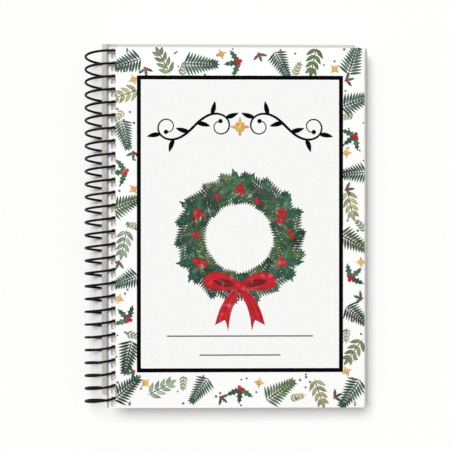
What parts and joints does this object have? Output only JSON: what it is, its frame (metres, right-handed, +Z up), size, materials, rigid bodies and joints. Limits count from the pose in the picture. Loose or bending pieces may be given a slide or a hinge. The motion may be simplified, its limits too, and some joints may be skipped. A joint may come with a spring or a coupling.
{
  "type": "gift card holder",
  "caption": "Coil-bound card book with a printed front cover, whose pages each carry a glued pocket for a gift card.",
  "frame": {"origin": "middle of the lying book's footprint, on the surface it lies on", "axes": "+X from the spine to the fore edge, +Y up the spine to the head, +Z up out of the front cover"},
  "size_m": [0.1412, 0.1822, 0.0182],
  "materials": {
    "coil": "black nylon-coated wire",
    "back_card": "smooth uncoated card",
    "cover_card": "printed card, satin",
    "page_card": "uncoated card",
    "foam_tape": "white foam tape",
    "pocket_paper": "printed paper"
  },
  "bodies": {
    "spine": {"coil_binding": "coil", "back_cover": "back_card"},
    "leaf_7": {"page_7": "page_card", "pocket_tape_7": "foam_tape", "pocket_panel_7": "pocket_paper"},
    "leaf_6": {"page_6": "page_card", "pocket_tape_6": "foam_tape", "pocket_panel_6": "pocket_paper"},
    "leaf_5": {"page_5": "page_card", "pocket_tape_5": "foam_tape", "pocket_panel_5": "pocket_paper"},
    "leaf_4": {"page_4": "page_card", "pocket_tape_4": "foam_tape", "pocket_panel_4": "pocket_paper"},
    "leaf_3": {"page_3": "page_card", "pocket_tape_3": "foam_tape", "pocket_panel_3": "pocket_paper"},
    "leaf_2": {"page_2": "page_card", "pocket_tape_2": "foam_tape", "pocket_panel_2": "pocket_paper"},
    "leaf_1": {"page_1": "page_card", "pocket_tape_1": "foam_tape", "pocket_panel_1": "pocket_paper"},
    "front": {"front_cover": "cover_card"}
  },
  "joints": [
    {"name": "leaf_7_turn", "type": "hinge", "parent": "spine", "child": "leaf_7", "pos_m": [-0.06154, 0, 0.0091], "axis": [0, -1, 0], "range_deg": [0, 180]},
    {"name": "leaf_6_turn", "type": "hinge", "parent": "leaf_7", "child": "leaf_6", "pos_m": [-0.06154, 0, 0.0091], "axis": [0, -1, 0], "range_deg": [0, 180]},
    {"name": "leaf_5_turn", "type": "hinge", "parent": "leaf_6", "child": "leaf_5", "pos_m": [-0.06154, 0, 0.0091], "axis": [0, -1, 0], "range_deg": [0, 180]},
    {"name": "leaf_4_turn", "type": "hinge", "parent": "leaf_5", "child": "leaf_4", "pos_m": [-0.06154, 0, 0.0091], "axis": [0, -1, 0], "range_deg": [0, 180]},
    {"name": "leaf_3_turn", "type": "hinge", "parent": "leaf_4", "child": "leaf_3", "pos_m": [-0.06154, 0, 0.0091], "axis": [0, -1, 0], "range_deg": [0, 180]},
    {"name": "leaf_2_turn", "type": "hinge", "parent": "leaf_3", "child": "leaf_2", "pos_m": [-0.06154, 0, 0.0091], "axis": [0, -1, 0], "range_deg": [0, 180]},
    {"name": "leaf_1_turn", "type": "hinge", "parent": "leaf_2", "child": "leaf_1", "pos_m": [-0.06154, 0, 0.0091], "axis": [0, -1, 0], "range_deg": [0, 180]},
    {"name": "front_turn", "type": "hinge", "parent": "leaf_1", "child": "front", "pos_m": [-0.06154, 0, 0.0091], "axis": [0, -1, 0], "range_deg": [0, 180]}
  ]
}
